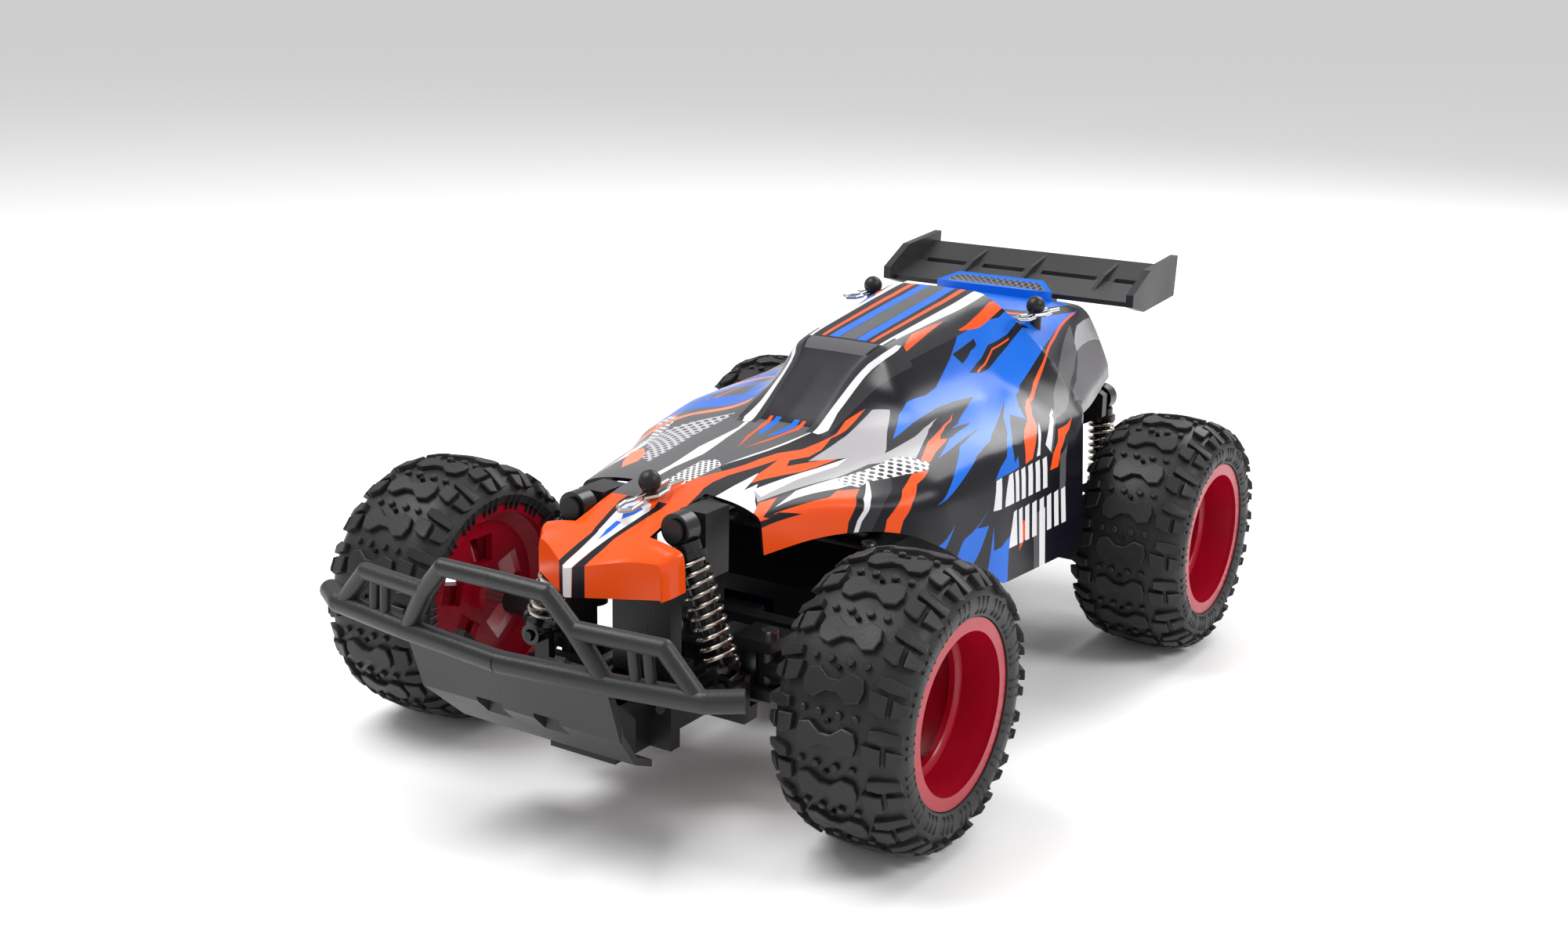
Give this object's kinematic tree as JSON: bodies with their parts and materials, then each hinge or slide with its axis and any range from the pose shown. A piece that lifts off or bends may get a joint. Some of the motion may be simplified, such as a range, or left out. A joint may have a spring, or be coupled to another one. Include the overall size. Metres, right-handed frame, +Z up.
{
  "type": "remote control car",
  "caption": "Toy off-road buggy with balloon tyres, steered front wheels, sprung arms, printed shell, tube bumper and rear wing",
  "frame": {"origin": "on the ground under the middle of the car's length and width", "axes": "+Z up, the car's front faces -Y, its left side is +X"},
  "size_m": [0.1844, 0.3052, 0.1164],
  "materials": {
    "black_plastic": "satin moulded black plastic",
    "shock_plastic": "satin black plastic",
    "servo_plastic": "fine-grained dark plastic",
    "shell_print": "glossy printed polycarbonate, orange, navy, blue and white",
    "tyre_rubber": "matt dark rubber",
    "rim_red": "glossy crimson plastic",
    "spring_steel": "bright spring wire",
    "clip_wire": "bright plated wire",
    "steel": "plain steel",
    "motor_can": "zinc-plated can",
    "brass_gear": "machined brass",
    "gear_plastic": "natural nylon",
    "battery_wrap": "shrink wrap",
    "board_green": "solder mask"
  },
  "bodies": {
    "chassis": {"chassis_tub": "black_plastic", "top_cover": "black_plastic", "battery_hatch": "black_plastic", "front_bumper": "black_plastic", "front_tower": "black_plastic", "rear_tower": "black_plastic", "body_posts": "black_plastic", "rear_wing": "black_plastic", "wing_bracket": "black_plastic", "gear_case_left": "black_plastic", "gear_case_right": "black_plastic", "steering_servo": "servo_plastic", "drive_motor": "motor_can", "battery_pack": "battery_wrap", "receiver_board": "board_green", "hinge_pins": "steel", "chassis_screws": "steel", "body_clips": "clip_wire", "body_shell": "shell_print"},
    "front_arm_body_left": {"front_arm_left": "black_plastic", "kingpin_left": "steel"},
    "knuckle_body_left": {"knuckle_left": "black_plastic", "stub_axle_left": "steel"},
    "front_wheel_left": {"front_rim_left": "rim_red", "front_tyre_left": "tyre_rubber"},
    "front_shock_left": {"front_shock_body_left": "shock_plastic", "front_spring_left": "spring_steel"},
    "front_shaft_left": {"front_shock_rod_left": "shock_plastic"},
    "rear_arm_body_left": {"rear_arm_left": "black_plastic"},
    "rear_wheel_left": {"rear_rim_left": "rim_red", "rear_tyre_left": "tyre_rubber", "drive_shaft_left": "steel", "wheel_nut_left": "steel"},
    "rear_shock_left": {"rear_shock_body_left": "shock_plastic", "rear_spring_left": "spring_steel"},
    "rear_shaft_left": {"rear_shock_rod_left": "shock_plastic"},
    "front_arm_body_right": {"front_arm_right": "black_plastic", "kingpin_right": "steel"},
    "knuckle_body_right": {"knuckle_right": "black_plastic", "stub_axle_right": "steel"},
    "front_wheel_right": {"front_rim_right": "rim_red", "front_tyre_right": "tyre_rubber"},
    "front_shock_right": {"front_shock_body_right": "shock_plastic", "front_spring_right": "spring_steel"},
    "front_shaft_right": {"front_shock_rod_right": "shock_plastic"},
    "rear_arm_body_right": {"rear_arm_right": "black_plastic"},
    "rear_wheel_right": {"rear_rim_right": "rim_red", "rear_tyre_right": "tyre_rubber", "drive_shaft_right": "steel", "wheel_nut_right": "steel"},
    "rear_shock_right": {"rear_shock_body_right": "shock_plastic", "rear_spring_right": "spring_steel"},
    "rear_shaft_right": {"rear_shock_rod_right": "shock_plastic"},
    "switch": {"power_switch": "black_plastic"},
    "diff": {"differential": "gear_plastic"},
    "pinion": {"motor_pinion": "brass_gear"},
    "link": {"steering_link": "black_plastic"},
    "horn": {"servo_horn": "black_plastic"}
  },
  "joints": [
    {"name": "front_arm_left", "type": "hinge", "parent": "chassis", "child": "front_arm_body_left", "pos_m": [0.014, -0.08405, 0.027], "axis": [0, -1, 0], "range_deg": [-5, 5], "stiffness_Nm_per_rad": 1.5, "springref_deg": -2.99},
    {"name": "steer_left", "type": "hinge", "parent": "front_arm_body_left", "child": "knuckle_body_left", "pos_m": [0.0345, -0.08405, 0.038], "axis": [0, 0, 1], "range_deg": [-20, 20]},
    {"name": "front_wheel_spin_left", "type": "hinge", "parent": "knuckle_body_left", "child": "front_wheel_left", "pos_m": [0.0645, -0.08405, 0.0375], "axis": [1, 0, 0], "continuous": true},
    {"name": "front_shock_swing_left", "type": "hinge", "parent": "chassis", "child": "front_shock_left", "pos_m": [0.0164, -0.09835, 0.0748], "axis": [0, -1, 0], "range_deg": [-0.366, 0.366]},
    {"name": "front_shock_stroke_left", "type": "slide", "parent": "front_shock_left", "child": "front_shaft_left", "axis": [0.3668, 0, -0.9303], "range_m": [-0.00186, 0.00186], "deforming": ["front_spring_left"]},
    {"name": "rear_arm_left", "type": "hinge", "parent": "chassis", "child": "rear_arm_body_left", "pos_m": [0.014, 0.08935, 0.027], "axis": [0, -1, 0], "range_deg": [-5, 5], "stiffness_Nm_per_rad": 1.5, "springref_deg": -2.99},
    {"name": "rear_wheel_spin_left", "type": "hinge", "parent": "rear_arm_body_left", "child": "rear_wheel_left", "pos_m": [0.0645, 0.08935, 0.0375], "axis": [1, 0, 0], "continuous": true},
    {"name": "rear_shock_swing_left", "type": "hinge", "parent": "chassis", "child": "rear_shock_left", "pos_m": [0.038, 0.11635, 0.0715], "axis": [0, -1, 0], "range_deg": [-1.66, 1.66]},
    {"name": "rear_shock_stroke_left", "type": "slide", "parent": "rear_shock_left", "child": "rear_shaft_left", "axis": [0.0605, 0, -0.9982], "range_m": [-0.00248, 0.00248], "deforming": ["rear_spring_left"]},
    {"name": "front_arm_right", "type": "hinge", "parent": "chassis", "child": "front_arm_body_right", "pos_m": [-0.014, -0.08405, 0.027], "axis": [0, 1, 0], "range_deg": [-5, 5], "stiffness_Nm_per_rad": 1.5, "springref_deg": -2.99},
    {"name": "steer_right", "type": "hinge", "parent": "front_arm_body_right", "child": "knuckle_body_right", "pos_m": [-0.0345, -0.08405, 0.038], "axis": [0, 0, 1], "range_deg": [-20, 20]},
    {"name": "front_wheel_spin_right", "type": "hinge", "parent": "knuckle_body_right", "child": "front_wheel_right", "pos_m": [-0.0645, -0.08405, 0.0375], "axis": [1, 0, 0], "continuous": true},
    {"name": "front_shock_swing_right", "type": "hinge", "parent": "chassis", "child": "front_shock_right", "pos_m": [-0.0164, -0.09835, 0.0748], "axis": [0, 1, 0], "range_deg": [-0.366, 0.366]},
    {"name": "front_shock_stroke_right", "type": "slide", "parent": "front_shock_right", "child": "front_shaft_right", "axis": [-0.3668, 0, -0.9303], "range_m": [-0.00186, 0.00186], "deforming": ["front_spring_right"]},
    {"name": "rear_arm_right", "type": "hinge", "parent": "chassis", "child": "rear_arm_body_right", "pos_m": [-0.014, 0.08935, 0.027], "axis": [0, 1, 0], "range_deg": [-5, 5], "stiffness_Nm_per_rad": 1.5, "springref_deg": -2.99},
    {"name": "rear_wheel_spin_right", "type": "hinge", "parent": "rear_arm_body_right", "child": "rear_wheel_right", "pos_m": [-0.0645, 0.08935, 0.0375], "axis": [1, 0, 0], "continuous": true},
    {"name": "rear_shock_swing_right", "type": "hinge", "parent": "chassis", "child": "rear_shock_right", "pos_m": [-0.038, 0.11635, 0.0715], "axis": [0, 1, 0], "range_deg": [-1.66, 1.66]},
    {"name": "rear_shock_stroke_right", "type": "slide", "parent": "rear_shock_right", "child": "rear_shaft_right", "axis": [-0.0605, 0, -0.9982], "range_m": [-0.00248, 0.00248], "deforming": ["rear_spring_right"]},
    {"name": "differential_spin", "type": "hinge", "parent": "chassis", "child": "diff", "pos_m": [0, 0.08935, 0.0375], "axis": [1, 0, 0], "continuous": true},
    {"name": "pinion_spin", "type": "hinge", "parent": "chassis", "child": "pinion", "pos_m": [0, 0.07081, 0.04736], "axis": [1, 0, 0], "continuous": true},
    {"name": "link_slide", "type": "slide", "parent": "chassis", "child": "link", "axis": [1, 0, 0], "range_m": [-0.00489, 0.00489]},
    {"name": "horn_turn", "type": "hinge", "parent": "chassis", "child": "horn", "pos_m": [0, -0.06055, 0.038], "axis": [0, 0, 1], "range_deg": [-28.91, 28.91]},
    {"name": "power_slide", "type": "slide", "parent": "chassis", "child": "switch", "axis": [0, 1, 0], "range_m": [0, 0.004]}
  ],
  "couplings": [
    {"joint": "front_shock_swing_left", "follows": "front_arm_left", "ratio": -0.05966},
    {"joint": "front_shock_stroke_left", "follows": "front_arm_left", "m_per_rad": -0.019735},
    {"joint": "rear_shock_swing_left", "follows": "rear_arm_left", "ratio": -0.30279},
    {"joint": "rear_shock_stroke_left", "follows": "rear_arm_left", "m_per_rad": -0.026575},
    {"joint": "front_shock_swing_right", "follows": "front_arm_right", "ratio": -0.05966},
    {"joint": "front_shock_stroke_right", "follows": "front_arm_right", "m_per_rad": -0.019735},
    {"joint": "rear_shock_swing_right", "follows": "rear_arm_right", "ratio": -0.30279},
    {"joint": "rear_shock_stroke_right", "follows": "rear_arm_right", "m_per_rad": -0.026575},
    {"joint": "steer_right", "follows": "steer_left", "ratio": 1},
    {"joint": "link_slide", "follows": "steer_left", "m_per_rad": -0.013717},
    {"joint": "horn_turn", "follows": "steer_left", "ratio": -1.4304},
    {"joint": "rear_wheel_spin_left", "follows": "differential_spin", "ratio": 1},
    {"joint": "rear_wheel_spin_right", "follows": "differential_spin", "ratio": 1},
    {"joint": "pinion_spin", "follows": "differential_spin", "ratio": -4}
  ]
}
